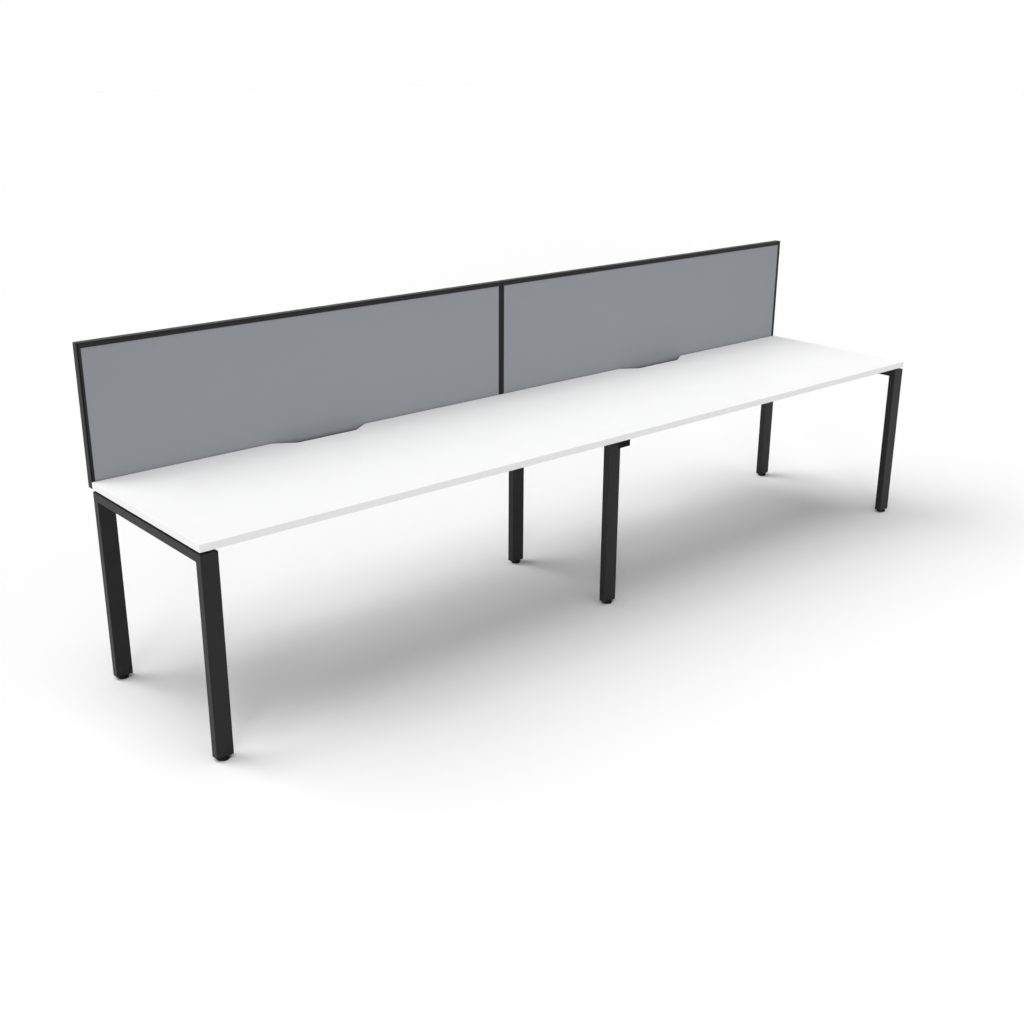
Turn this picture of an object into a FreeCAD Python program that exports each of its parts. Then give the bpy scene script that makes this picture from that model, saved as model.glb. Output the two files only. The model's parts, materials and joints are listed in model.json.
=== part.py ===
"""Single-sided office workstation: two worktops in a row on three tube frames, with a screen behind each.

Millimetres. X runs along the desk, -Y is the side where people sit, Z is up and the floor is Z = 0.
The origin is on the floor, under the middle of the whole outline.
"""

import FreeCAD
import Part
import math
import os
import re
import Sketcher

DIMENSIONS = {
    # Worktops
    "top_length": 1800,
    "top_depth": 750,
    "top_thickness": 25,
    "top_height": 730,
    "edging_thickness": 2,
    "edging_round": 1,
    "scallop_mouth": 410,
    "scallop_floor": 260,
    "scallop_depth": 50,
    "scallop_corner": 30,
    # Tubes of the leg frames
    "tube_width": 60,
    "tube_depth": 30,
    "tube_wall": 2,
    "tube_corner": 1,
    "middle_leg_inset": 80,
    "middle_bar_inset": 30,
    "cap_lip": 2,
    "cap_insert": 12,
    "insert_clearance": 0.2,
    # Beams under the worktops
    "beam_width": 50,
    "beam_inset": 200,
    "spigot_length": 80,
    "spigot_wall": 3,
    "lock_diameter": 6,
    "lock_head_diameter": 11,
    "lock_head_height": 3,
    # Spacers and screws that hold the worktops
    "spacer_height": 8,
    "spacer_diameter": 22,
    "screw_diameter": 5,
    "screw_head_diameter": 9,
    "screw_head_height": 3,
    "screw_bite": 15,
    "screw_clearance": 0.2,
    "access_hole": 14,
    "bar_screw_pitch": 250,
    "beam_screw_pitch": 600,
    "drill_overrun": 1,
    # Levelling feet
    "foot_diameter": 38,
    "foot_height": 12,
    "foot_bevel": 0.5,
    "foot_shoulder": 1,
    "pad_height": 10,
    "stem_diameter": 8,
    "stem_length": 45,
    "stem_socket": 5,
    "collar_flats": 14,
    "plug_height": 20,
    "nut_flats": 13,
    "nut_height": 6.5,
    "thread_clearance": 0.3,
    # Screens
    "screen_gap": 3,
    "screen_thickness": 28,
    "screen_height": 496,
    "post_face": 13.5,
    "post_channel": 7,
    "top_rail_face": 18,
    "top_rail_channel": 7,
    "bottom_rail_face": 8,
    "bottom_rail_channel": 2.5,
    "frame_lip": 2,
    "groove_inset": 2.5,
    "groove_width": 3,
    "groove_depth": 8,
    "fabric_thickness": 1,
    "pin_diameter": 2.5,
    "pin_length": 10,
    "pin_clearance": 0.1,
    # Brackets that carry the screens
    "bracket_width": 80,
    "bracket_thickness": 4,
    "bracket_reach": 60,
    "bracket_margin": 4,
    "bracket_corner": 8,
    "bracket_spacing": 600,
    "bracket_hole_pitch": 50,
    "bracket_hole_edge": 25,
    "bracket_screw_diameter": 4,
    "bracket_head_diameter": 8,
    "bracket_head_height": 2.5,
    "bracket_screw_bite": 14,
}

# Levels and lines that several pieces share
FOOT_OVERHANG = "max((foot_diameter - tube_depth) / 2; 0)"
FRONT = f"(({FOOT_OVERHANG} - top_depth - screen_gap - screen_thickness) / 2)"
REAR = f"({FRONT} + top_depth)"
CENTRE_LINE = f"({FRONT} + top_depth / 2)"
UNDERSIDE = "(top_height - top_thickness)"
FRAME_TOP = f"({UNDERSIDE} - spacer_height)"
BAR_BOTTOM = f"({FRAME_TOP} - tube_depth)"
BAR_MIDDLE = f"({FRAME_TOP} - tube_depth / 2)"
END_FRAME = "(top_length - tube_width / 2)"
SCREEN_FRONT = f"({REAR} + screen_gap)"
SCREEN_MIDDLE = f"({SCREEN_FRONT} + screen_thickness / 2)"
SCREEN_REAR = f"({SCREEN_FRONT} + screen_thickness)"
SCREEN_BOTTOM = UNDERSIDE
SCREEN_TOP = f"({SCREEN_BOTTOM} + screen_height)"
TOP_RAIL_WEB = "(top_rail_face - top_rail_channel)"
BOTTOM_RAIL_WEB = "(bottom_rail_face - bottom_rail_channel)"
PANEL_LENGTH = "(top_length - 2 * (post_face - post_channel))"
PANEL_HEIGHT = f"(screen_height - {TOP_RAIL_WEB} - {BOTTOM_RAIL_WEB})"
COLLAR_HEIGHT = "(foot_height - pad_height)"
BRACKET_UNDERSIDE = f"({UNDERSIDE} - bracket_thickness)"

# The two bays and the three leg frames, with the sign of their place along X
BAYS = {"left": "-1", "right": "1"}
FRAMES = {"left": "-1", "middle": "0", "right": "1"}

doc = FreeCAD.newDocument("workstation")
sheet = doc.addObject("Spreadsheet::Sheet", "Sheet")
for row, (alias, number) in enumerate(DIMENSIONS.items(), start=1):
    sheet.set(f"A{row}", alias)
    sheet.set(f"B{row}", str(number))
    sheet.setAlias(f"B{row}", alias)
doc.recompute()

pieces = {}


def on_sheet(formula):
    """A formula over the names of dimensions, as an expression over the sheet's cells."""
    def cell(word):
        name = word.group()
        return f"Sheet.{name}" if name in DIMENSIONS else name
    return re.sub(r"[a-z][a-z_]*", cell, formula)


def bind(item, prop, formula):
    item.setExpression(prop, on_sheet(formula))


def place(item, x, y, z, axis=None, angle=0):
    """Put an item at formulas for x, y and z, turned by an angle about an axis."""
    if axis:
        item.Placement = FreeCAD.Placement(FreeCAD.Vector(), FreeCAD.Rotation(FreeCAD.Vector(axis), angle))
    bind(item, "Placement.Base.x", x)
    bind(item, "Placement.Base.y", y)
    bind(item, "Placement.Base.z", z)


def piece(label, item):
    """Name a finished sub-part."""
    item.Label = label
    pieces[label] = item
    return item


# Sketches and features

def new_body(name):
    return doc.addObject("PartDesign::Body", name)


def new_sketch(body, role, height=None):
    """An empty sketch on one of the body's own origin planes, or a height above it."""
    sketch = body.newObject("Sketcher::SketchObject", f"{body.Name}_sketch")
    plane = next(item for item in body.Origin.OriginFeatures if item.Role == role)
    sketch.AttachmentSupport = (plane, [""])
    sketch.MapMode = "FlatFace"
    if height:
        bind(sketch, "AttachmentOffset.Base.z", height)
    return sketch


def fix_point(sketch, geometry, point, start, formulas):
    """Hold a sketch point at formulas for its two coordinates."""
    for kind, value, formula in zip(("DistanceX", "DistanceY"), start, formulas):
        constraint = Sketcher.Constraint(kind, -1, 1, geometry, point, value)
        bind(sketch, f"Constraints[{sketch.addConstraint(constraint)}]", formula)


def add_polygon(sketch, corners):
    """A closed outline whose corners are pairs of formulas."""
    count = len(corners)
    turns = [2 * math.pi * index / count for index in range(count)]
    starts = [FreeCAD.Vector(math.cos(turn), math.sin(turn)) for turn in turns]
    first = sketch.GeometryCount
    for index in range(count):
        sketch.addGeometry(Part.LineSegment(starts[index], starts[(index + 1) % count]), False)
    for index in range(count):
        following = first + (index + 1) % count
        sketch.addConstraint(Sketcher.Constraint("Coincident", first + index, 2, following, 1))
    for index, corner in enumerate(corners):
        fix_point(sketch, first + index, 1, (starts[index].x, starts[index].y), corner)


def add_rectangle(sketch, width, depth):
    """A rectangle centred on the sketch's origin."""
    across = f"({width}) / 2"
    up = f"({depth}) / 2"
    signs = [("-", "-"), ("", "-"), ("", ""), ("-", "")]
    add_polygon(sketch, [(f"{left}{across}", f"{down}{up}") for left, down in signs])


def add_hexagon(sketch, flats):
    """A hexagon centred on the sketch's origin, by its size across flats."""
    half = f"{flats} / 2"
    short = f"{flats} / (2 * sqrt(3))"
    tip = f"{flats} / sqrt(3)"
    add_polygon(sketch, [(half, f"-{short}"), (half, short), ("0", tip),
                         (f"-{half}", short), (f"-{half}", f"-{short}"), ("0", f"-{tip}")])


def add_circle(sketch, radius, x="0", y="0"):
    start = FreeCAD.Vector(1, 1)
    geometry = sketch.addGeometry(Part.Circle(start, FreeCAD.Vector(0, 0, 1), 1), False)
    fix_point(sketch, geometry, 3, (start.x, start.y), (x, y))
    constraint = Sketcher.Constraint("Radius", geometry, 1)
    bind(sketch, f"Constraints[{sketch.addConstraint(constraint)}]", radius)


def pad(body, sketch, length, midplane=False, backwards=False):
    feature = body.newObject("PartDesign::Pad", f"{body.Name}_pad")
    feature.Profile = sketch
    bind(feature, "Length", length)
    feature.Midplane = midplane
    feature.Reversed = backwards
    return feature


def pocket_through(body, sketch):
    """Cut a sketch right through the body, both ways from the sketch."""
    feature = body.newObject("PartDesign::Pocket", f"{body.Name}_pocket")
    feature.Profile = sketch
    feature.Type = "ThroughAll"
    feature.Midplane = True
    return feature


def pocket(body, sketch, depth):
    feature = body.newObject("PartDesign::Pocket", f"{body.Name}_pocket")
    feature.Profile = sketch
    bind(feature, "Length", depth)
    return feature


def revolve(body, corners):
    """Turn an outline of (radius, height) corners about the body's Z axis."""
    sketch = new_sketch(body, "XZ_Plane")
    add_polygon(sketch, corners)
    feature = body.newObject("PartDesign::Revolution", f"{body.Name}_turned")
    feature.Profile = sketch
    feature.ReferenceAxis = (sketch, ["V_Axis"])
    feature.Angle = 360
    return feature


def fillet(body, feature, radius, picked):
    """Round the edges of a feature that a test picks."""
    doc.recompute()
    box = feature.Shape.BoundBox
    edges = enumerate(feature.Shape.Edges, start=1)
    names = [f"Edge{index}" for index, edge in edges if picked(edge, box)]
    rounded = body.newObject("PartDesign::Fillet", f"{body.Name}_fillet")
    rounded.Base = (feature, names)
    bind(rounded, "Radius", radius)
    return rounded


# Tests that pick the edges to round

def near(first, second):
    return abs(first - second) < 1e-4


def is_upright(edge):
    start, end = edge.Vertexes[0].Point, edge.Vertexes[-1].Point
    return near(start.x, end.x) and near(start.y, end.y) and not near(start.z, end.z)


def is_outer_corner(edge, box):
    """An upright edge at one of the four corners of the outline."""
    point = edge.Vertexes[0].Point
    at_side = near(point.x, box.XMin) or near(point.x, box.XMax)
    at_end = near(point.y, box.YMin) or near(point.y, box.YMax)
    return is_upright(edge) and at_side and at_end


def is_mouth_corner(edge, box):
    """An upright edge where the scallop leaves the rear edge."""
    return is_upright(edge) and near(edge.Vertexes[0].Point.y, box.YMax) and not is_outer_corner(edge, box)


def is_floor_corner(edge, box):
    """An upright edge at an end of the scallop's floor."""
    point = edge.Vertexes[0].Point
    return is_upright(edge) and point.y < box.YMax - 1 and point.y > box.YMin + 1


def is_rim(edge, box):
    """An edge round the upper or lower face."""
    heights = [vertex.Point.z for vertex in edge.Vertexes]
    at_top = all(near(height, box.ZMax) for height in heights)
    at_bottom = all(near(height, box.ZMin) for height in heights)
    return at_top or at_bottom


# Groups of equal solids, and holes drilled in pieces

def spread(name, template, places):
    """A group of copies of one solid, each at formulas for x, y and z."""
    copies = []
    for x, y, z in places:
        copy = doc.addObject("App::Link", f"{name}_copy")
        copy.LinkedObject = template
        place(copy, x, y, z)
        copies.append(copy)
    group = doc.addObject("Part::Compound", name)
    group.Links = copies
    return group


def drilled(name, base, *drills):
    """A piece with one or more groups of drills taken out of it."""
    for number, drill in enumerate(drills, start=1):
        cut = doc.addObject("Part::Cut", f"{name}_drilled_{number}")
        cut.Base = base
        cut.Tool = drill
        base = cut
    return base


# Worktops

def worktop_blank(name, inset, mouth_round, floor_round):
    """A board with the cable scallop in its rear edge, drawn in by an inset all round."""
    run = "((scallop_mouth - scallop_floor) / 2)"
    slope = f"sqrt({run} ^ 2 + scallop_depth ^ 2)"
    widening = f"{inset} * ({slope} - {run}) / scallop_depth"
    end = f"(top_length / 2 - {inset})"
    mouth = f"(scallop_mouth / 2 + {widening})"
    floor = f"(scallop_floor / 2 + {widening})"
    rear = f"(top_depth - {inset})"
    valley = f"({rear} - scallop_depth)"
    body = new_body(name)
    sketch = new_sketch(body, "XY_Plane")
    add_polygon(sketch, [(f"-{end}", inset), (end, inset), (end, rear), (mouth, rear), (floor, valley),
                         (f"-{floor}", valley), (f"-{mouth}", rear), (f"-{end}", rear)])
    board = pad(body, sketch, "top_thickness")
    board = fillet(body, board, mouth_round, is_mouth_corner)
    return body, fillet(body, board, floor_round, is_floor_corner)


def worktop(bay, sign, drills):
    """A melamine-faced board and the edging round it."""
    centre = f"({sign} * top_length / 2)"
    board, _ = worktop_blank(f"{bay}_board", "edging_thickness", "scallop_corner - edging_thickness",
                             "scallop_corner + edging_thickness")
    outline, outline_solid = worktop_blank(f"{bay}_outline", "0", "scallop_corner", "scallop_corner")
    fillet(outline, outline_solid, "edging_round", is_rim)
    for body in (board, outline):
        place(body, centre, FRONT, UNDERSIDE)
    piece(f"{bay}_top", drilled(f"{bay}_top", board, *drills))
    piece(f"{bay}_top_edging", drilled(f"{bay}_edging", outline, board))


# Leg frames

def tube(name, width, depth, length):
    """A rectangular tube standing on its local origin, with rounded outer corners."""
    body = new_body(name)
    sketch = new_sketch(body, "XY_Plane")
    add_rectangle(sketch, width, depth)
    add_rectangle(sketch, f"{width} - 2 * tube_wall", f"{depth} - 2 * tube_wall")
    fillet(body, pad(body, sketch, length), "tube_corner", is_outer_corner)
    return body


def mitre(body, corners):
    """Cut a triangle off the side of a tube, right across its width."""
    sketch = new_sketch(body, "YZ_Plane")
    add_polygon(sketch, corners)
    pocket_through(body, sketch)


def end_frame(side, sign, drills):
    """Two legs and a crossbar, mitred at the corners and flush with the worktop's end."""
    across = f"({sign} * {END_FRAME})"
    height = f"({FRAME_TOP} - foot_height)"
    half = "tube_depth / 2"
    leg_tip = [(f"-{half}", height), (half, height), (half, f"{height} - tube_depth")]
    places = {"front": (f"{FRONT} + {half}", 0), "rear": (f"{REAR} - {half}", 180)}
    for end, (y, angle) in places.items():
        leg = tube(f"{side}_{end}_leg", "tube_width", "tube_depth", height)
        mitre(leg, leg_tip)
        place(leg, across, y, "foot_height", (0, 0, 1), angle)
        piece(f"{side}_{end}_leg", leg)
    bar = tube(f"{side}_bar", "tube_width", "tube_depth", "top_depth")
    mitre(bar, [(f"-{half}", "0"), (half, "tube_depth"), (half, "0")])
    mitre(bar, [(f"-{half}", "top_depth"), (half, "top_depth"), (half, "top_depth - tube_depth")])
    place(bar, across, FRONT, BAR_MIDDLE, (1, 0, 0), -90)
    piece(f"{side}_crossbar", drilled(f"{side}_crossbar", bar, drills))


def middle_frame(drills):
    """Two legs set in under a crossbar that runs on past them."""
    half = "tube_depth / 2"
    places = {"front": f"{FRONT} + middle_leg_inset + {half}", "rear": f"{REAR} - middle_leg_inset - {half}"}
    for end, y in places.items():
        leg = tube(f"middle_{end}_leg", "tube_width", "tube_depth", f"{BAR_BOTTOM} - foot_height")
        place(leg, "0", y, "foot_height")
        piece(f"middle_{end}_leg", leg)
    inset = "(middle_bar_inset + cap_lip)"
    bar = tube("middle_bar", "tube_width", "tube_depth", f"top_depth - 2 * {inset}")
    place(bar, "0", f"{FRONT} + {inset}", BAR_MIDDLE, (1, 0, 0), -90)
    piece("middle_crossbar", drilled("middle_crossbar", bar, drills))
    bar_cap("front", f"{FRONT} + {inset}", -90)
    bar_cap("rear", f"{REAR} - {inset}", 90)


def bar_cap(end, y, angle):
    """A moulded cap that plugs an open end of the middle crossbar."""
    body = new_body(f"middle_bar_{end}_cap")
    lip = new_sketch(body, "XY_Plane")
    add_rectangle(lip, "tube_width", "tube_depth")
    fillet(body, pad(body, lip, "cap_lip", backwards=True), "tube_corner", is_outer_corner)
    insert = new_sketch(body, "XY_Plane")
    inner = "- 2 * (tube_wall + insert_clearance)"
    add_rectangle(insert, f"tube_width {inner}", f"tube_depth {inner}")
    pad(body, insert, "cap_insert")
    place(body, "0", y, BAR_MIDDLE, (1, 0, 0), angle)
    piece(f"middle_bar_{end}_cap", body)


def leg_centres():
    """The name and the x and y of each leg's centre line."""
    half = "tube_depth / 2"
    for frame, sign in FRAMES.items():
        inset = "middle_leg_inset" if frame == "middle" else "0"
        x = f"({sign} * {END_FRAME})"
        yield f"{frame}_front", x, f"({FRONT} + {inset} + {half})"
        yield f"{frame}_rear", x, f"({REAR} - {inset} - {half})"


# Levelling feet

def leg_plugs():
    """Moulded plugs in the leg ends, each with a captive nut for the foot's stem."""
    bore = "stem_diameter / 2 + thread_clearance"
    plug = new_body("plug")
    block = new_sketch(plug, "XY_Plane")
    inner = "- 2 * (tube_wall + insert_clearance)"
    add_rectangle(block, f"tube_width {inner}", f"tube_depth {inner}")
    add_circle(block, bore)
    fillet(plug, pad(plug, block, "plug_height"), "tube_corner", is_outer_corner)
    seat = new_sketch(plug, "XY_Plane", "plug_height")
    add_hexagon(seat, "nut_flats")
    pocket(plug, seat, "nut_height")
    nut = new_body("nut")
    ring = new_sketch(nut, "XY_Plane")
    add_hexagon(ring, "nut_flats")
    add_circle(ring, bore)
    pad(nut, ring, "nut_height")
    seat_height = "foot_height + plug_height - nut_height"
    piece("leg_plugs", spread("leg_plugs", plug, [(x, y, "foot_height") for _, x, y in leg_centres()]))
    piece("foot_nuts", spread("foot_nuts", nut, [(x, y, seat_height) for _, x, y in leg_centres()]))


def foot(name, x, y):
    """A round pad that stands on the floor, and the threaded stem that turns in it."""
    radius = "foot_diameter / 2"
    socket = "stem_diameter / 2 + thread_clearance"
    base = new_body(f"{name}_foot_pad")
    revolve(base, [("0", "0"), (f"{radius} - foot_bevel", "0"), (radius, "foot_bevel"),
                   (radius, "pad_height - foot_shoulder"), (f"{radius} - foot_shoulder", "pad_height"),
                   (socket, "pad_height"), (socket, "pad_height - stem_socket"),
                   ("0", "pad_height - stem_socket")])
    place(base, x, y, "0")
    piece(f"{name}_foot_pad", base)
    stem = new_body(f"{name}_foot_stem")
    collar = new_sketch(stem, "XY_Plane")
    add_hexagon(collar, "collar_flats")
    pad(stem, collar, COLLAR_HEIGHT)
    for length, downwards in ((f"{COLLAR_HEIGHT} + stem_length", False), ("stem_socket", True)):
        rod = new_sketch(stem, "XY_Plane")
        add_circle(rod, "stem_diameter / 2")
        pad(stem, rod, length, backwards=downwards)
    place(stem, x, y, "pad_height")
    piece(f"{name}_foot_stem", stem)


# Beams, spacers and screws under the worktops

def turned(name, corners):
    body = new_body(name)
    revolve(body, corners)
    return body


def pan_screw(name, head_radius, head_height, radius, length):
    """A screw with a flat head below its local origin and its shank above."""
    return turned(name, [("0", f"-{head_height}"), (head_radius, f"-{head_height}"), (head_radius, "0"),
                         (radius, "0"), (radius, length), ("0", length)])


def rod_drill(name, radius, low, high):
    return turned(name, [("0", low), (radius, low), (radius, high), ("0", high)])


def top_screw_places(sign):
    """Where one worktop's screws stand: along its end crossbar, the middle crossbar and its two beams."""
    steps = ("-1", "0", "1")
    along_bar = [f"{CENTRE_LINE} + {step} * bar_screw_pitch" for step in steps]
    along_beam = [f"{sign} * top_length / 2 + {step} * beam_screw_pitch" for step in steps]
    quarter_tube = "tube_width / 4"
    return {"end": [(f"{sign} * {END_FRAME}", y) for y in along_bar],
            "middle": [(f"{sign} * {quarter_tube}", y) for y in along_bar],
            "beams": [(x, y) for y in beam_lines().values() for x in along_beam]}


def beam_lines():
    return {"front": f"({FRONT} + beam_inset)", "rear": f"({REAR} - beam_inset)"}


def at_height(places, z):
    return [(x, y, z) for x, y in places]


def spigot_places():
    """The lower end along X and the beam line of each spigot."""
    inner_faces = ["-top_length + tube_width", "-tube_width / 2 - spigot_length",
                   "tube_width / 2", "top_length - tube_width - spigot_length"]
    return [(x, y) for x in inner_faces for y in beam_lines().values()]


def beams_and_spigots(bar_drill):
    """Four beams, the spigots on the crossbars that they slide on to, and their lock screws."""
    lock_places = at_height([(f"{x} + spigot_length / 2", y) for x, y in spigot_places()], BAR_BOTTOM)
    lock_radius = "lock_diameter / 2"
    through = "tube_wall + insert_clearance + spigot_wall"
    lock = pan_screw("lock_screw", "lock_head_diameter / 2", "lock_head_height", lock_radius, through)
    lock_drill = rod_drill("lock_drill", f"{lock_radius} + screw_clearance", "-drill_overrun",
                           f"{through} + drill_overrun")
    lock_drills = spread("lock_drills", lock_drill, lock_places)
    piece("beam_lock_screws", spread("beam_lock_screws", lock, lock_places))

    spigot = new_body("spigot")
    section = new_sketch(spigot, "YZ_Plane")
    play = "- 2 * (tube_wall + insert_clearance)"
    for hollow in ("", "- 2 * spigot_wall"):
        add_rectangle(section, f"beam_width {play} {hollow}", f"tube_depth {play} {hollow}")
    pad(spigot, section, "spigot_length")
    spigots = spread("spigots", spigot, at_height(spigot_places(), BAR_MIDDLE))
    piece("beam_spigots", drilled("beam_spigots", spigots, lock_drills))

    clear_span = "top_length - tube_width - tube_width / 2"
    for bay, sign in BAYS.items():
        start = "-top_length + tube_width" if bay == "left" else "tube_width / 2"
        screw_places = at_height(top_screw_places(sign)["beams"], FRAME_TOP)
        screws = spread(f"{bay}_beam_drills", bar_drill, screw_places)
        for end, line in beam_lines().items():
            beam = tube(f"{bay}_{end}_tube", "tube_depth", "beam_width", clear_span)
            place(beam, start, line, BAR_MIDDLE, (0, 1, 0), 90)
            name = f"{bay}_{end}_beam"
            piece(name, drilled(name, beam, screws, lock_drills))


def bracket_screw_places(sign):
    """Two screws of each bracket go up into the worktop and two into the screen."""
    lines = {"top": f"{REAR} - bracket_hole_edge", "screen": SCREEN_MIDDLE}
    half_pitch = "bracket_hole_pitch / 2"
    across = [f"{x} {side} {half_pitch}" for x in bracket_centres(sign) for side in "-+"]
    return {name: [(x, y, BRACKET_UNDERSIDE) for x in across] for name, y in lines.items()}


def bracket_centres(sign):
    return [f"({sign} * top_length / 2 + {step} * bracket_spacing)" for step in ("-1", "1")]


def worktops_and_fixings():
    """Worktops, leg frames and all that joins them."""
    radius = "screw_diameter / 2"
    hole = f"{radius} + screw_clearance"
    access = "access_hole / 2"
    shank = "tube_wall + spacer_height + screw_bite"
    screw = pan_screw("top_screw", "screw_head_diameter / 2", "screw_head_height", radius, shank)
    pilot = rod_drill("pilot_drill", hole, "-drill_overrun", "screw_bite + drill_overrun")
    under_wall = "-tube_wall - drill_overrun"
    below = "-tube_depth - drill_overrun"
    above = "drill_overrun"
    bar_drill = turned("bar_drill", [("0", below), (access, below), (access, under_wall), (hole, under_wall),
                                     (hole, above), ("0", above)])
    spacer = new_body("spacer")
    ring = new_sketch(spacer, "XY_Plane")
    add_circle(ring, "spacer_diameter / 2")
    add_circle(ring, hole)
    pad(spacer, ring, "spacer_height")
    bracket_pilot = rod_drill("bracket_pilot", "bracket_screw_diameter / 2 + screw_clearance", "0",
                              "bracket_thickness + bracket_screw_bite + drill_overrun")

    middle_places = []
    for bay, sign in BAYS.items():
        places = top_screw_places(sign)
        everywhere = places["end"] + places["middle"] + places["beams"]
        middle_places += places["middle"]
        under_head = f"{FRAME_TOP} - tube_wall"
        piece(f"{bay}_top_screws", spread(f"{bay}_top_screws", screw, at_height(everywhere, under_head)))
        piece(f"{bay}_top_spacers", spread(f"{bay}_top_spacers", spacer, at_height(everywhere, FRAME_TOP)))
        pilots = spread(f"{bay}_pilots", pilot, at_height(everywhere, UNDERSIDE))
        bracket_places = bracket_screw_places(sign)
        bracket_pilots = spread(f"{bay}_top_bracket_pilots", bracket_pilot, bracket_places["top"])
        worktop(bay, sign, (pilots, bracket_pilots))
        end_frame(bay, sign, spread(f"{bay}_bar_drills", bar_drill, at_height(places["end"], FRAME_TOP)))
        screen(bay, sign, spread(f"{bay}_screen_pilots", bracket_pilot, bracket_places["screen"]))
    middle_frame(spread("middle_bar_drills", bar_drill, at_height(middle_places, FRAME_TOP)))
    beams_and_spigots(bar_drill)


# Screens

def frame_profile(face, channel, grooved):
    """Section of a post or rail: first coordinate in from the outer face, second from front to rear."""
    groove_end = "groove_inset + groove_width"
    groove = [("groove_inset", "0"), ("groove_inset", "groove_depth"),
              (groove_end, "groove_depth"), (groove_end, "0")]
    web = f"{face} - {channel}"
    front_half = [("0", "0"), (face, "0"), (face, "frame_lip"), (web, "frame_lip")]
    if grooved:
        front_half[1:1] = groove
    rear_half = [(inwards, f"screen_thickness - ({back})") for inwards, back in reversed(front_half)]
    return front_half + rear_half


def screen_rail(name, face, channel, at_top):
    """A rail between the posts, with a tongue at each end that fills the post's channel."""
    sign = "-" if at_top else ""
    body = new_body(name)
    section = new_sketch(body, "YZ_Plane")
    profile = frame_profile(face, channel, grooved=at_top)
    add_polygon(section, [(back, f"{sign}({inwards})") for inwards, back in profile])
    pad(body, section, "top_length - 2 * post_face", midplane=True)
    tongue = new_sketch(body, "YZ_Plane")
    rear = "screen_thickness - frame_lip"
    web = f"{sign}({face} - {channel})"
    add_polygon(tongue, [("frame_lip", "0"), (rear, "0"), (rear, web), ("frame_lip", web)])
    pad(body, tongue, PANEL_LENGTH, midplane=True)
    return body


def flat_panel(name, thickness, centre, front):
    """A flat sheet that fills the screen's frame, standing in the channels of its rails and posts."""
    panel = doc.addObject("Part::Box", name)
    bind(panel, "Length", PANEL_LENGTH)
    bind(panel, "Width", thickness)
    bind(panel, "Height", PANEL_HEIGHT)
    place(panel, f"{centre} - {PANEL_LENGTH} / 2", front, f"{SCREEN_BOTTOM} + {BOTTOM_RAIL_WEB}")
    return panel


def cross_pin(name, radius):
    """A pin that runs forwards from the rear face of the frame."""
    body = new_body(name)
    sketch = new_sketch(body, "XZ_Plane")
    add_circle(sketch, radius)
    pad(body, sketch, "pin_length")
    return body


def screen(bay, sign, pilots):
    """A fabric-faced board in a black frame of two posts and two rails, pinned at the corners."""
    centre = f"({sign} * top_length / 2)"
    corner = "(top_length / 2 - post_face + post_channel / 2)"
    pin_heights = (f"{SCREEN_TOP} - {TOP_RAIL_WEB} / 2", f"{SCREEN_BOTTOM} + {BOTTOM_RAIL_WEB} / 2")
    pin_lines = (f"{centre} - {corner}", f"{centre} + {corner}")
    pin_places = [(x, SCREEN_REAR, z) for x in pin_lines for z in pin_heights]
    pin = cross_pin(f"{bay}_pin", "pin_diameter / 2")
    drill = cross_pin(f"{bay}_pin_drill", "pin_diameter / 2 + pin_clearance")
    drills = spread(f"{bay}_pin_drills", drill, pin_places)
    piece(f"{bay}_screen_pins", spread(f"{bay}_screen_pins", pin, pin_places))

    posts = {"left": (f"{centre} - top_length / 2", SCREEN_FRONT, 0),
             "right": (f"{centre} + top_length / 2", SCREEN_REAR, 180)}
    for side, (x, y, angle) in posts.items():
        post = new_body(f"{bay}_{side}_post")
        section = new_sketch(post, "XY_Plane")
        add_polygon(section, frame_profile("post_face", "post_channel", grooved=True))
        pad(post, section, "screen_height")
        place(post, x, y, SCREEN_BOTTOM, (0, 0, 1), angle)
        name = f"{bay}_screen_{side}_post"
        piece(name, drilled(name, post, drills))

    top_rail = screen_rail(f"{bay}_upper_rail", "top_rail_face", "top_rail_channel", at_top=True)
    place(top_rail, centre, SCREEN_FRONT, SCREEN_TOP)
    piece(f"{bay}_screen_top_rail", drilled(f"{bay}_screen_top_rail", top_rail, drills))
    bottom_rail = screen_rail(f"{bay}_lower_rail", "bottom_rail_face", "bottom_rail_channel", at_top=False)
    place(bottom_rail, centre, SCREEN_FRONT, SCREEN_BOTTOM)
    piece(f"{bay}_screen_bottom_rail", drilled(f"{bay}_screen_bottom_rail", bottom_rail, drills, pilots))

    fabric_front = f"{SCREEN_FRONT} + frame_lip"
    fabric_rear = f"{SCREEN_REAR} - frame_lip - fabric_thickness"
    core = flat_panel(f"{bay}_board_core", "screen_thickness - 2 * (frame_lip + fabric_thickness)", centre,
                      f"{fabric_front} + fabric_thickness")
    piece(f"{bay}_screen_core", drilled(f"{bay}_screen_core", core, pilots))
    for face, y in (("front", fabric_front), ("rear", fabric_rear)):
        name = f"{bay}_screen_{face}_fabric"
        piece(name, flat_panel(name, "fabric_thickness", centre, y))


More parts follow.
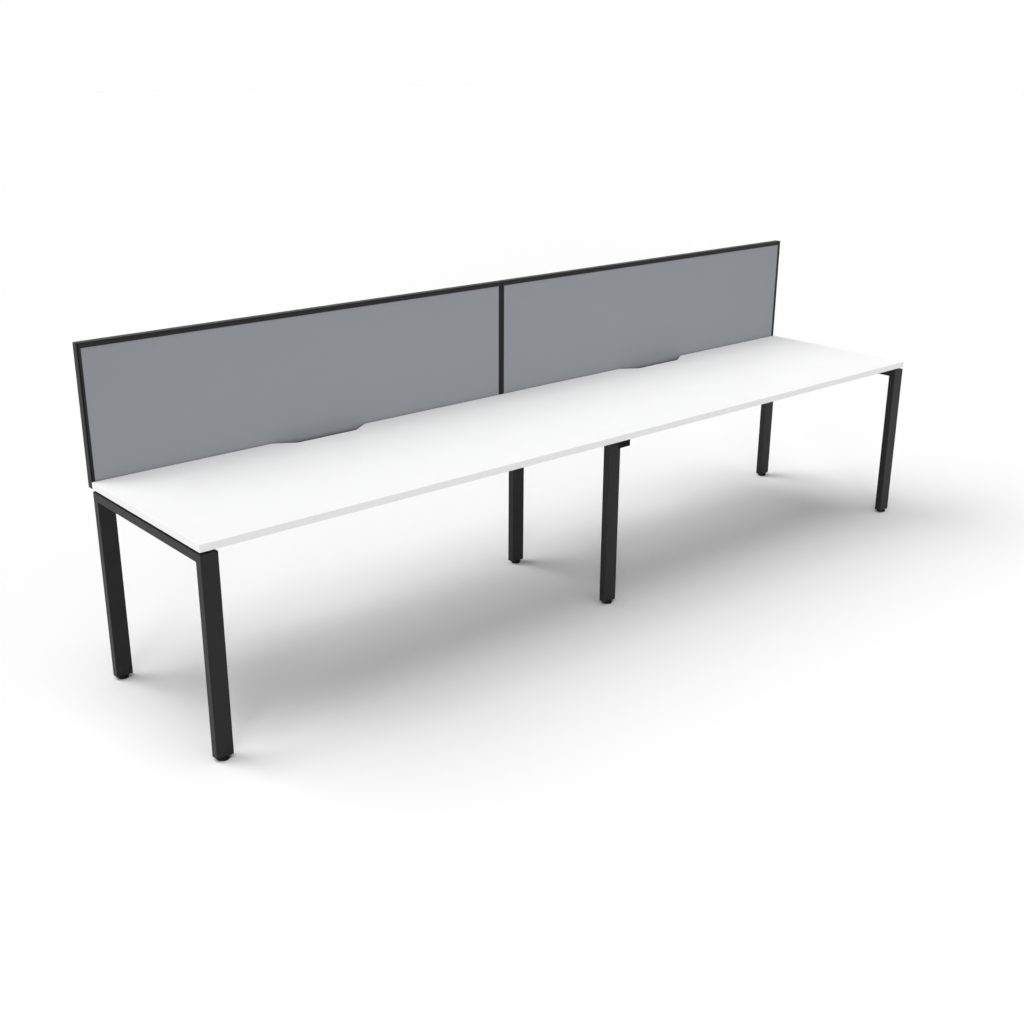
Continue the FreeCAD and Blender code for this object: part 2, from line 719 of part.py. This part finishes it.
def screen_brackets():
    """Flat plates under the rear edge of the worktops that carry the screens, and their screws."""
    plate = new_body("bracket")
    outline = new_sketch(plate, "XY_Plane")
    half = "bracket_width / 2"
    front = "-bracket_reach"
    rear = "screen_gap + screen_thickness - bracket_margin"
    add_polygon(outline, [(f"-{half}", front), (half, front), (half, rear), (f"-{half}", rear)])
    for x in ("-bracket_hole_pitch / 2", "bracket_hole_pitch / 2"):
        for y in ("-bracket_hole_edge", "screen_gap + screen_thickness / 2"):
            add_circle(outline, "bracket_screw_diameter / 2 + screw_clearance", x, y)
    flat = pad(plate, outline, "bracket_thickness", backwards=True)
    fillet(plate, flat, "bracket_corner", is_outer_corner)
    screw = pan_screw("bracket_screw", "bracket_head_diameter / 2", "bracket_head_height",
                      "bracket_screw_diameter / 2", "bracket_thickness + bracket_screw_bite")
    screw_places = []
    for bay, sign in BAYS.items():
        places = [(x, REAR, UNDERSIDE) for x in bracket_centres(sign)]
        piece(f"{bay}_screen_brackets", spread(f"{bay}_screen_brackets", plate, places))
        for group in bracket_screw_places(sign).values():
            screw_places += group
    piece("screen_bracket_screws", spread("screen_bracket_screws", screw, screw_places))


# Build, check and write

worktops_and_fixings()
screen_brackets()
leg_plugs()
for leg_name, leg_x, leg_y in leg_centres():
    foot(leg_name, leg_x, leg_y)
doc.recompute()

for item in doc.Objects:
    if "Invalid" in item.State or "Error" in item.State:
        raise RuntimeError(f"{item.Label} failed: {item.State}")
for label, item in pieces.items():
    if item.Shape.isNull() or not item.Shape.isValid() or not item.Shape.Solids:
        raise RuntimeError(f"{label} has no valid solid")

os.makedirs("parts", exist_ok=True)
for label, item in pieces.items():
    item.Shape.exportStep(f"parts/{label}.step")
print(f"{len(pieces)} pieces, {sum(len(item.Shape.Solids) for item in pieces.values())} solids")
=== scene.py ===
"""Looks of a single-sided office workstation.

Two white worktops stand on black tube frames, with a grey cloth screen along the rear edge of each.
Metres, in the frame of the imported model: X runs along the desk, -Y is the side where people sit, Z is up.
"""

import json
import math

import bmesh
import bpy
from mathutils import Matrix, Vector

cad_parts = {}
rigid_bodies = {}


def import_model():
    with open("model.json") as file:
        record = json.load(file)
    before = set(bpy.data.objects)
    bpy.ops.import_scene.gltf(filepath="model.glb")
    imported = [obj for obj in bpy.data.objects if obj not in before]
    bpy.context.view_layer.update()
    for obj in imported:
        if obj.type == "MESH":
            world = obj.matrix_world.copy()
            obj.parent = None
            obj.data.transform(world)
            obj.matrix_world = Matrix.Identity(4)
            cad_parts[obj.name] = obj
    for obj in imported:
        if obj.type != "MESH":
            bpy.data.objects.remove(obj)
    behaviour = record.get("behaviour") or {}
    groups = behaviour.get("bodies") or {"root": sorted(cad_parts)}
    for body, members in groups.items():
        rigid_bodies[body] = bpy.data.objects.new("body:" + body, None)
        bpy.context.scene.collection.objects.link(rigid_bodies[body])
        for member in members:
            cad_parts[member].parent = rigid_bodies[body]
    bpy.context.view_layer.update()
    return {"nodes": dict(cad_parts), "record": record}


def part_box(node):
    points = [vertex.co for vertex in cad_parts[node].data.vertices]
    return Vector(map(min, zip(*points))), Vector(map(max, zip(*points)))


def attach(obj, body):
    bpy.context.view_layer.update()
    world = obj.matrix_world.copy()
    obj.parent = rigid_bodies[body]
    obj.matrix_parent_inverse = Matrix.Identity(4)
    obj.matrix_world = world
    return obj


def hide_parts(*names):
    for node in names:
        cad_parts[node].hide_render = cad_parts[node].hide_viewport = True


for leftover in list(bpy.data.objects):
    bpy.data.objects.remove(leftover)
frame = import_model()

MM = 0.001
BAYS = ("left", "right")
LEGS = ("left_front", "left_rear", "middle_front", "middle_rear", "right_front", "right_rear")


# Small helpers

def linear(hex_colour):
    """An sRGB hex colour as the linear colour that a shader socket takes."""
    channels = [int(hex_colour[start:start + 2], 16) / 255 for start in (1, 3, 5)]
    return [c / 12.92 if c <= 0.04045 else ((c + 0.055) / 1.055) ** 2.4 for c in channels] + [1]


def add(tree, kind, inputs, **settings):
    """Add a node of a kind with its settings. An input is a number, a colour or another node's output."""
    node = tree.nodes.new("ShaderNode" + kind)
    for name, value in settings.items():
        setattr(node, name, value)
    for name, value in inputs.items():
        if isinstance(value, bpy.types.NodeSocket):
            tree.links.new(value, node.inputs[name])
        else:
            node.inputs[name].default_value = value
    return node


def new_material(name):
    """A material with an empty tree but for its output, and the place on the piece in metres."""
    material = bpy.data.materials.new(name)
    material.use_nodes = True
    tree = material.node_tree
    tree.nodes.clear()
    output = add(tree, "OutputMaterial", {})
    place = add(tree, "TexCoord", {}).outputs["Object"]
    return material, tree, output.inputs["Surface"], place


def per_metre(millimetres):
    """The scale of a pattern whose features are that many millimetres apart."""
    return 1 / (millimetres * MM)


# Materials

def white_melamine():
    """Melamine-faced board: a pressed resin paper, plain white and satin, with faint pearl in its gloss."""
    material, tree, surface, place = new_material("white_melamine")
    pearl = add(tree, "TexNoise", {"Vector": place, "Scale": per_metre(2.5), "Detail": 2.0})
    cloudy = add(tree, "TexNoise", {"Vector": place, "Scale": per_metre(140), "Detail": 3.0})
    tint = add(tree, "Mix", {"Factor": cloudy.outputs["Fac"], "A": linear("#eeeeee"), "B": linear("#f2f2f2")},
               data_type="RGBA")
    gloss = add(tree, "MapRange", {"Value": pearl.outputs["Fac"], "To Min": 0.5, "To Max": 0.62})
    grain = add(tree, "Bump", {"Height": pearl.outputs["Fac"], "Strength": 0.05, "Distance": 0.05 * MM})
    shader = add(tree, "BsdfPrincipled", {
        "Base Color": tint.outputs["Result"], "Roughness": gloss.outputs["Result"], "IOR": 1.5,
        "Specular IOR Level": 0.15, "Normal": grain.outputs["Normal"]})
    tree.links.new(shader.outputs["BSDF"], surface)
    return material


def white_edging():
    """Extruded ABS edging: the board's white, a shade duller, with faint draw lines along the band."""
    material, tree, surface, place = new_material("white_abs_edging")
    stretch = (0.02, 0.02, 1.0)
    along_band = add(tree, "Mapping", {"Vector": place, "Scale": stretch})
    draw = add(tree, "TexNoise", {"Vector": along_band.outputs["Vector"], "Scale": per_metre(1.2),
                                  "Detail": 2.0})
    tint = add(tree, "Mix", {"Factor": draw.outputs["Fac"], "A": linear("#ececec"), "B": linear("#f0f0f0")},
               data_type="RGBA")
    lines = add(tree, "Bump", {"Height": draw.outputs["Fac"], "Strength": 0.08, "Distance": 0.05 * MM})
    shader = add(tree, "BsdfPrincipled", {
        "Base Color": tint.outputs["Result"], "Roughness": 0.42, "IOR": 1.53, "Specular IOR Level": 0.3,
        "Normal": lines.outputs["Normal"]})
    tree.links.new(shader.outputs["BSDF"], surface)
    return material


def black_coating(name, colour, peel_mm, roughness, bump):
    """A baked polyester powder coat: near black and matt, with the orange peel that it flows out to.

    The peel lies in its sheen, so it shows where a face is seen at a low angle.
    """
    material, tree, surface, place = new_material(name)
    uneven = 0.04
    peel = add(tree, "TexNoise", {"Vector": place, "Scale": per_metre(peel_mm), "Detail": 3.0,
                                  "Roughness": 0.6})
    patch = add(tree, "TexNoise", {"Vector": place, "Scale": per_metre(90), "Detail": 2.0})
    sheen = add(tree, "MapRange", {"Value": patch.outputs["Fac"], "To Min": roughness - uneven,
                                   "To Max": roughness + uneven})
    rough = add(tree, "Bump", {"Height": peel.outputs["Fac"], "Strength": bump, "Distance": 0.06 * MM})
    shader = add(tree, "BsdfPrincipled", {
        "Base Color": linear(colour), "Roughness": sheen.outputs["Result"], "IOR": 1.5,
        "Specular IOR Level": 0.25, "Normal": rough.outputs["Normal"]})
    tree.links.new(shader.outputs["BSDF"], surface)
    return material


def screen_cloth():
    """Plain-woven polyester: a dry mid grey with a slight blue cast, two yarns a shade apart, no shine.

    The yarns are about 0.8 mm apart on such cloth, too fine to show, so the weave is drawn at 2.4 mm.
    """
    yarn_mm = 2.4
    material, tree, surface, place = new_material("woven_grey_polyester")
    yarn = {"Vector": place, "Scale": per_metre(yarn_mm) / 2, "Distortion": 0.6, "Detail": 1.0,
            "Detail Scale": 0.5}
    weft = add(tree, "TexWave", yarn, bands_direction="Z")
    warp = add(tree, "TexWave", yarn, bands_direction="X")
    weave = add(tree, "Math", {0: weft.outputs["Fac"], 1: warp.outputs["Fac"]}, operation="MULTIPLY")
    slub = add(tree, "TexNoise", {"Vector": place, "Scale": per_metre(6), "Detail": 4.0, "Roughness": 0.7})
    shade = add(tree, "Math", {0: weave.outputs["Value"], 1: slub.outputs["Fac"]}, operation="MULTIPLY")
    tint = add(tree, "Mix", {"Factor": shade.outputs["Value"], "A": linear("#8d9095"),
                             "B": linear("#9da0a4")}, data_type="RGBA")
    relief = add(tree, "Bump", {"Height": weave.outputs["Value"], "Strength": 0.25, "Distance": 0.2 * MM})
    shader = add(tree, "BsdfPrincipled", {
        "Base Color": tint.outputs["Result"], "Roughness": 0.95, "Specular IOR Level": 0.1,
        "Sheen Weight": 0.05, "Normal": relief.outputs["Normal"]})
    tree.links.new(shader.outputs["BSDF"], surface)
    return material


def soft_fibreboard():
    """Raw soft fibreboard: pressed wood fibres, straw brown, dry and felted."""
    material, tree, surface, place = new_material("soft_fibreboard")
    fibre = add(tree, "TexNoise", {"Vector": place, "Scale": per_metre(3), "Detail": 6.0, "Roughness": 0.75})
    tint = add(tree, "Mix", {"Factor": fibre.outputs["Fac"], "A": linear("#8a6f4c"), "B": linear("#c0a57c")},
               data_type="RGBA")
    felt = add(tree, "Bump", {"Height": fibre.outputs["Fac"], "Strength": 0.5, "Distance": 0.3 * MM})
    shader = add(tree, "BsdfPrincipled", {
        "Base Color": tint.outputs["Result"], "Roughness": 0.95, "Normal": felt.outputs["Normal"]})
    tree.links.new(shader.outputs["BSDF"], surface)
    return material


def black_nylon():
    """Moulded nylon: black right through, with the dull spark-eroded grain of its mould."""
    material, tree, surface, place = new_material("moulded_black_nylon")
    spark = add(tree, "TexVoronoi", {"Vector": place, "Scale": per_metre(0.5)})
    gloss = add(tree, "MapRange", {"Value": spark.outputs["Distance"], "To Min": 0.6, "To Max": 0.72})
    grain = add(tree, "Bump", {"Height": spark.outputs["Distance"], "Strength": 0.2, "Distance": 0.03 * MM})
    shader = add(tree, "BsdfPrincipled", {
        "Base Color": linear("#0a0a0a"), "Roughness": gloss.outputs["Result"], "IOR": 1.53,
        "Specular IOR Level": 0.1, "Normal": grain.outputs["Normal"]})
    tree.links.new(shader.outputs["BSDF"], surface)
    return material


def bright_zinc():
    """Zinc-plated steel: a cool bright grey with the slight clouding of a passivated plate."""
    material, tree, surface, place = new_material("bright_zinc_plate")
    cloud = add(tree, "TexNoise", {"Vector": place, "Scale": per_metre(4), "Detail": 4.0})
    tint = add(tree, "Mix", {"Factor": cloud.outputs["Fac"], "A": linear("#a9adb2"), "B": linear("#c9ccd0")},
               data_type="RGBA")
    gloss = add(tree, "MapRange", {"Value": cloud.outputs["Fac"], "To Min": 0.25, "To Max": 0.4})
    shader = add(tree, "BsdfPrincipled", {
        "Base Color": tint.outputs["Result"], "Metallic": 1.0, "Roughness": gloss.outputs["Result"]})
    tree.links.new(shader.outputs["BSDF"], surface)
    return material


finishes = {
    "worktop_melamine": white_melamine(),
    "edging_abs": white_edging(),
    "black_powder_coat": black_coating("black_powder_coat", "#161616", peel_mm=1.2, roughness=0.5, bump=0.12),
    "black_frame_aluminium": black_coating("black_coated_aluminium", "#191919", peel_mm=0.8, roughness=0.58,
                                           bump=0.06),
    "grey_fabric": screen_cloth(),
    "screen_core_board": soft_fibreboard(),
    "black_plastic": black_nylon(),
    "zinc_steel": bright_zinc(),
}
slot_of = {part["node"]: part["material_slot"] for part in frame["record"]["subparts"]}
for node, cad_object in frame["nodes"].items():
    cad_object.data.materials.clear()
    cad_object.data.materials.append(finishes[slot_of[node]])


# Building blocks of the pieces

SHARP = math.radians(30)
FLAT = math.radians(1)
MERGE = 0.002 * MM


def cad_mesh(node):
    """A copy of a CAD node's mesh, with its points joined and its flat faces whole."""
    bm = bmesh.new()
    bm.from_mesh(frame["nodes"][node].data)
    bmesh.ops.remove_doubles(bm, verts=bm.verts, dist=MERGE)
    bmesh.ops.dissolve_limit(bm, angle_limit=FLAT, verts=bm.verts, edges=bm.edges)
    return bm


def cad_solids(node):
    """The lowest and highest corner of each separate solid of a CAD node, in order."""
    bm = cad_mesh(node)
    unseen = set(bm.verts)
    boxes = []
    while unseen:
        solid = [unseen.pop()]
        for vert in solid:
            near = {edge.other_vert(vert) for edge in vert.link_edges} & unseen
            unseen -= near
            solid += near
        low = [min(vert.co[axis] for vert in solid) for axis in range(3)]
        high = [max(vert.co[axis] for vert in solid) for axis in range(3)]
        boxes.append((low, high))
    bm.free()
    return sorted(boxes)


def underside(low, high):
    """The middle of the underside of a box."""
    return ((low[0] + high[0]) / 2, (low[1] + high[1]) / 2, low[2])


def join(target, part, offset):
    """Move a mesh by an offset and add a copy of it to another one."""
    mesh = bpy.data.meshes.new("part")
    part.to_mesh(mesh)
    mesh.transform(Matrix.Translation(offset))
    target.from_mesh(mesh)
    bpy.data.meshes.remove(mesh)


def new_piece(bm, node, body, rounded_mm=0):
    """Make a mesh into a piece that stands for a CAD node, with its sharp outer edges rounded if wanted."""
    weight = bm.edges.layers.float.new("bevel_weight_edge")
    for face in bm.faces:
        face.smooth = True
    for edge in bm.edges:
        angle = edge.calc_face_angle_signed(0)
        rounded = rounded_mm > 0 and angle > SHARP
        edge[weight] = float(rounded)
        edge.smooth = rounded or abs(angle) < SHARP
    name = f"{node}_detailed"
    mesh = bpy.data.meshes.new(name)
    bm.to_mesh(mesh)
    bm.free()
    mesh.materials.append(finishes[slot_of[node]])
    piece = bpy.data.objects.new(name, mesh)
    bpy.context.collection.objects.link(piece)
    if rounded_mm:
        bevel = piece.modifiers.new("rounded_edges", "BEVEL")
        bevel.limit_method = "WEIGHT"
        bevel.width = rounded_mm * MM
        bevel.segments = 2
        piece.modifiers.new("even_shading", "WEIGHTED_NORMAL").keep_sharp = True
    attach(piece, body)
    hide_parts(node)
    return piece


def turned(profile, segments=48):
    """A solid turned about Z from a profile that runs from its bottom out and up to its top, in millimetres.

    A radius may be a function of the angle, for a hexagon or a lobed socket.
    """
    bm = bmesh.new()
    angles = [2 * math.pi * step / segments for step in range(segments)]
    rings = []
    for radius, height in profile:
        reach = [(radius(angle) if callable(radius) else radius) * MM for angle in angles]
        rings.append([bm.verts.new((r * math.cos(angle), r * math.sin(angle), height * MM))
                      for r, angle in zip(reach, angles)])
    for lower, upper in zip(rings, rings[1:]):
        for step in range(segments):
            after = (step + 1) % segments
            bm.faces.new((lower[step], lower[after], upper[after], upper[step]))
    bm.faces.new(reversed(rings[0]))
    bm.faces.new(rings[-1])
    return bm


def hexagon(flats):
    """The radius of a hexagon at an angle, by its size across flats."""
    return lambda angle: flats / 2 / math.cos(angle % (math.pi / 3) - math.pi / 6)


def six_lobes(diameter):
    """The radius of a six-lobed driver socket at an angle, by its diameter over the lobes."""
    lobe = 0.06 * diameter
    return lambda angle: diameter / 2 - lobe + lobe * math.cos(6 * angle)


# Pieces

def eased(node, rounded_mm):
    """A CAD node with its outer edges broken by the small radius that a die, a file or a mould leaves."""
    new_piece(cad_mesh(node), node, "desk", rounded_mm)


# The cloth of the screens: a hem in the frame, a roll beside it, and a slight swell with long low waves

HEM = 7 * MM
ROLL = 8 * MM
ROLL_SHARES = (0, 0.125, 0.3125, 0.5, 0.75, 1)
NEAR_FRAME = [0] + [HEM + share * ROLL for share in ROLL_SHARES]
GRID = 40 * MM
SWELL = 0.5 * MM
UNEVEN = 0.12 * MM
LONG_WAVES = (9, 3)
SHORT_WAVES = (-2, 14)


def sheet_lines(start, end):
    """Lines across a sheet of cloth, close together on the roll at its ends and on a wide grid between."""
    margin = NEAR_FRAME[-1]
    width = end - start - 2 * margin
    count = round(width / GRID)
    between = [start + margin + width * step / count for step in range(1, count)]
    return [start + inset for inset in NEAR_FRAME] + between + [end - inset for inset in reversed(NEAR_FRAME)]


def cloth_rise(x, z, low, high):
    """How far the cloth stands out at a place: not at all on its hem, and by the full swell past the roll.

    The waves are in radians per metre along X and Z.
    """
    inset = min(x - low[0], high[0] - x, z - low[2], high[2] - z) - HEM
    share = min(max(inset / ROLL, 0), 1)
    crown = SWELL * math.sin(share * math.pi / 2)
    long_waves = math.sin(LONG_WAVES[0] * x + LONG_WAVES[1] * z)
    short_waves = math.sin(SHORT_WAVES[0] * x + SHORT_WAVES[1] * z)
    return crown + UNEVEN * share * long_waves * short_waves


def border(rows):
    """The points round the edge of a grid of points, in order."""
    right = [row[-1] for row in rows[1:]]
    left = [row[0] for row in rows[-2:0:-1]]
    return rows[0] + right + rows[-1][-2::-1] + left


def screen_sheet(bay, face):
    """A sheet of cloth stretched over the screen's board, its hem in the channel of the frame.

    It rolls up from the frame by half a millimetre and has the slight unevenness of hand stretching.
    """
    node = f"{bay}_screen_{face}_fabric"
    low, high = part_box(node)
    outwards = -1 if face == "front" else 1
    outer, inner = (low[1], high[1]) if face == "front" else (high[1], low[1])
    across = sheet_lines(low[0], high[0])
    up = sheet_lines(low[2], high[2])
    bm = bmesh.new()
    shown = [[bm.verts.new((x, outer + outwards * cloth_rise(x, z, low, high), z)) for x in across]
             for z in up]
    hidden = [[bm.verts.new((x, inner, z)) for x in across] for z in up]
    for skin in (shown, hidden):
        for row, above in zip(skin, skin[1:]):
            for step in range(len(row) - 1):
                bm.faces.new((row[step], row[step + 1], above[step + 1], above[step]))
    shown_edge = border(shown)
    hidden_edge = border(hidden)
    for step in range(len(shown_edge)):
        bm.faces.new((shown_edge[step - 1], shown_edge[step], hidden_edge[step], hidden_edge[step - 1]))
    bmesh.ops.recalc_face_normals(bm, faces=bm.faces)
    piece = new_piece(bm, node, "desk")


def foot_pad(leg):
    """A moulded round foot: soft edges, a mould ring on top, and webs in the hollow of its underside."""
    node = f"{leg}_foot_pad"
    low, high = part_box(node)
    radius = (high[0] - low[0]) / 2 / MM
    height = (high[2] - low[2]) / MM
    hub, rim, hollow = 6, radius - 3.5, 2
    soft, soft_steps = 0.8, 4
    ring_outside, ring_inside, ring_depth = radius - 4, radius - 5.5, 0.3
    socket, socket_depth = 4.3, 5
    webs, web_width, web_bite = 8, 1.6, 0.2
    quarter_turn = [math.pi / 2 * step / soft_steps for step in range(soft_steps + 1)]
    bend = [(soft * math.sin(turn), soft * math.cos(turn)) for turn in quarter_turn]
    lower = [(radius - soft + out, soft - up) for out, up in bend]
    upper = [(radius - soft + out, height - soft + up) for out, up in reversed(bend)]
    ring = [(ring_outside, height), (ring_outside - ring_depth, height - ring_depth),
            (ring_inside + ring_depth, height - ring_depth), (ring_inside, height)]
    profile = ([(hub, 0), (hub, hollow), (rim, hollow), (rim, 0)] + lower + upper + ring
               + [(socket, height), (socket, height - socket_depth)])
    bm = turned(profile, segments=72)
    middle = Matrix.Translation(((hub + rim) / 2 * MM, 0, hollow / 2 * MM))
    size = Matrix.Diagonal(((rim - hub + 2 * web_bite) * MM, web_width * MM, hollow * MM, 1))
    for turn in range(webs):
        spin = Matrix.Rotation(2 * math.pi * turn / webs, 4, "Z")
        bmesh.ops.create_cube(bm, size=1, matrix=spin @ middle @ size)
    bmesh.ops.translate(bm, verts=bm.verts, vec=underside(low, high))
    new_piece(bm, node, f"{leg}_pad")


def threaded_rod(radius, pitch, length):
    """A rod with a helical thread, in millimetres, as columns of points that each start a step further up."""
    steps = 24
    depth = 0.6 * pitch
    root = radius - depth
    tooth = [(0, root), (0.35, radius), (0.5, radius), (0.85, root)]
    turns = range(-1, math.ceil(length / pitch) + 1)
    bm = bmesh.new()
    columns = []
    for step in range(steps):
        angle = 2 * math.pi * step / steps
        column = []
        for turn in turns:
            for share, reach in tooth:
                height = pitch * (turn + share + step / steps)
                r = reach if 0 < height < length else root
                z = min(max(height, 0), length)
                column.append(bm.verts.new((r * math.cos(angle) * MM, r * math.sin(angle) * MM, z * MM)))
        columns.append(column)
    columns.append(columns[0][len(tooth):])
    for column, following in zip(columns, columns[1:]):
        for row in range(min(len(column), len(following)) - 1):
            bm.faces.new((column[row], following[row], following[row + 1], column[row + 1]))
    bmesh.ops.remove_doubles(bm, verts=bm.verts, dist=MERGE)
    bmesh.ops.holes_fill(bm, edges=bm.edges)
    return bm


def foot_stem(leg):
    """The M8 stem of a foot: a rolled thread above a hexagon collar, and a plain spigot in the pad."""
    node = f"{leg}_foot_stem"
    low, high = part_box(node)
    radius, pitch, flats, spigot, collar = 4, 1.25, 14, 5, 2
    lead_in, chamfer, corner_cut, neck = 0.5, 0.4, 1.2, 0.8
    collar_top = spigot + collar
    length = (high[2] - low[2]) / MM - collar_top
    full = hexagon(flats)
    chamfered = hexagon(flats - corner_cut)
    bm = turned([(radius - lead_in, 0), (radius, lead_in), (radius, spigot), (chamfered, spigot),
                 (full, spigot + chamfer), (full, collar_top - chamfer), (chamfered, collar_top),
                 (radius - neck, collar_top)])
    join(bm, threaded_rod(radius, pitch, length), (0, 0, collar_top * MM))
    bmesh.ops.translate(bm, verts=bm.verts, vec=underside(low, high))
    new_piece(bm, node, f"{leg}_stem")


def screws(node, shank, head):
    """A group of pan-head screws with six-lobed sockets, heads down, in millimetres."""
    solids = cad_solids(node)
    low, high = solids[0]
    radius = (high[0] - low[0]) / 2 / MM
    length = (high[2] - low[2]) / MM
    socket_width, socket_floor, socket_lip = radius, 0.6 * head, 0.1
    crown, point, taper = 0.05, 0.1, 0.3 * shank
    socket = [(six_lobes(0.9 * socket_width), socket_floor), (six_lobes(socket_width), socket_lip)]
    pan = [(0.72 * radius, crown), (0.88 * radius, 0.2 * head), (0.98 * radius, 0.5 * head),
           (radius, 0.75 * head), (radius, head)]
    stalk = [(shank / 2, head), (shank / 2, length - taper), (point, length)]
    screw = turned(socket + pan + stalk, segments=36)
    bm = bmesh.new()
    for low, high in solids:
        join(bm, screw, underside(low, high))
    screw.free()
    new_piece(bm, node, "desk")


for bay in BAYS:
    for part in ("left_post", "right_post", "top_rail", "bottom_rail"):
        eased(f"{bay}_screen_{part}", rounded_mm=0.3)
    for face in ("front", "rear"):
        screen_sheet(bay, face)
    eased(f"{bay}_screen_brackets", rounded_mm=0.5)
    eased(f"{bay}_top_spacers", rounded_mm=0.6)
    screws(f"{bay}_top_screws", shank=5, head=3)
for end in ("front", "rear"):
    eased(f"middle_bar_{end}_cap", rounded_mm=0.5)
eased("leg_plugs", rounded_mm=0.4)
screws("beam_lock_screws", shank=6, head=3)
screws("screen_bracket_screws", shank=4, head=2.5)
for leg in LEGS:
    foot_pad(leg)
    foot_stem(leg)


# Stage, light and camera

def looked_at(tree):
    """1 on a ray that shows a surface, straight or by gloss or glass, and 0 on one that gathers light."""
    ray = add(tree, "LightPath", {}).outputs
    camera_or_gloss = add(tree, "Math", {0: ray["Is Camera Ray"], 1: ray["Is Glossy Ray"]},
                          operation="MAXIMUM")
    seen = add(tree, "Math", {0: camera_or_gloss.outputs["Value"], 1: ray["Is Transmission Ray"]},
               operation="MAXIMUM")
    return seen.outputs["Value"]


def white_stage():
    """A white floor that runs to the horizon and keeps the desk's shadow. From beneath it is clear.

    It gives back less light than it shows, so that the gaps under the worktops stay dark. It lies against the
    left front foot and goes down with it, so that the desk stands higher on feet that are wound out.
    """
    reach = 60
    mesh = bpy.data.meshes.new("floor")
    corners = [(-reach, -reach, 0), (reach, -reach, 0), (reach, reach, 0), (-reach, reach, 0)]
    mesh.from_pydata(corners, [], [(0, 1, 2, 3)])
    floor = bpy.data.objects.new("floor", mesh)
    bpy.context.collection.objects.link(floor)
    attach(floor, "left_front_pad")
    material, tree, surface, _ = new_material("white_floor")
    colour = add(tree, "Mix", {"Factor": looked_at(tree), "A": linear("#c8c8c8"), "B": linear("#f5f5f5")},
                 data_type="RGBA")
    paint = add(tree, "BsdfDiffuse", {"Color": colour.outputs["Result"]})
    clear = add(tree, "BsdfTransparent", {})
    beneath = add(tree, "NewGeometry", {}).outputs["Backfacing"]
    shader = add(tree, "MixShader", {0: beneath, 1: paint.outputs["BSDF"], 2: clear.outputs["BSDF"]})
    tree.links.new(shader.outputs["Shader"], surface)
    mesh.materials.append(material)


def white_surround(level):
    """An even surround that lights the desk at a level, and that the eye, metal and glass see as white."""
    world = bpy.data.worlds.new("studio")
    world.use_nodes = True
    tree = world.node_tree
    tree.nodes.clear()
    output = add(tree, "OutputWorld", {})
    strength = add(tree, "MapRange", {"Value": looked_at(tree), "To Min": level, "To Max": 1.0})
    glow = add(tree, "Background", {"Color": linear("#ffffff"), "Strength": strength.outputs["Result"]})
    tree.links.new(glow.outputs["Background"], output.inputs["Surface"])
    bpy.context.scene.world = world


def soft_lamp(name, level, spread, towards):
    """A wide even light that shines along a direction. A white face square to it comes out at the level."""
    lamp = bpy.data.lights.new(name, "SUN")
    lamp.energy = level * math.pi
    lamp.angle = math.radians(spread)
    item = bpy.data.objects.new(name, lamp)
    item.rotation_euler = Vector(towards).to_track_quat("-Z", "Y").to_euler()
    bpy.context.collection.objects.link(item)


def photo_camera():
    """The camera where the photograph was taken from: left of the desk, in front of it and above."""
    data = bpy.data.cameras.new("camera")
    data.lens = 44.96
    data.sensor_width = 36
    data.shift_x = 0.0186
    data.shift_y = -0.0008
    camera = bpy.data.objects.new("camera", data)
    camera.location = (-3.3787, -3.603, 2.0977)
    camera.rotation_euler = (math.radians(70.053), 0, math.radians(-40.027))
    bpy.context.collection.objects.link(camera)
    bpy.context.scene.camera = camera


# Most light falls from above and from behind on the left, and a low lamp at the front left lights the cloth

white_stage()
white_surround(level=0.02)
soft_lamp("overhead", level=0.41, spread=40, towards=(0, 0, -1))
soft_lamp("rear_left", level=0.41, spread=40, towards=(0.55, -0.65, -1))
soft_lamp("left", level=0.15, spread=70, towards=(0.75, -0.13, -1))
soft_lamp("front", level=0.19, spread=70, towards=(0, 0.6, -1))
soft_lamp("front_left", level=0.65, spread=20, towards=(0.7, 0.7, -0.1))
photo_camera()
bpy.context.scene.view_settings.view_transform = "Standard"
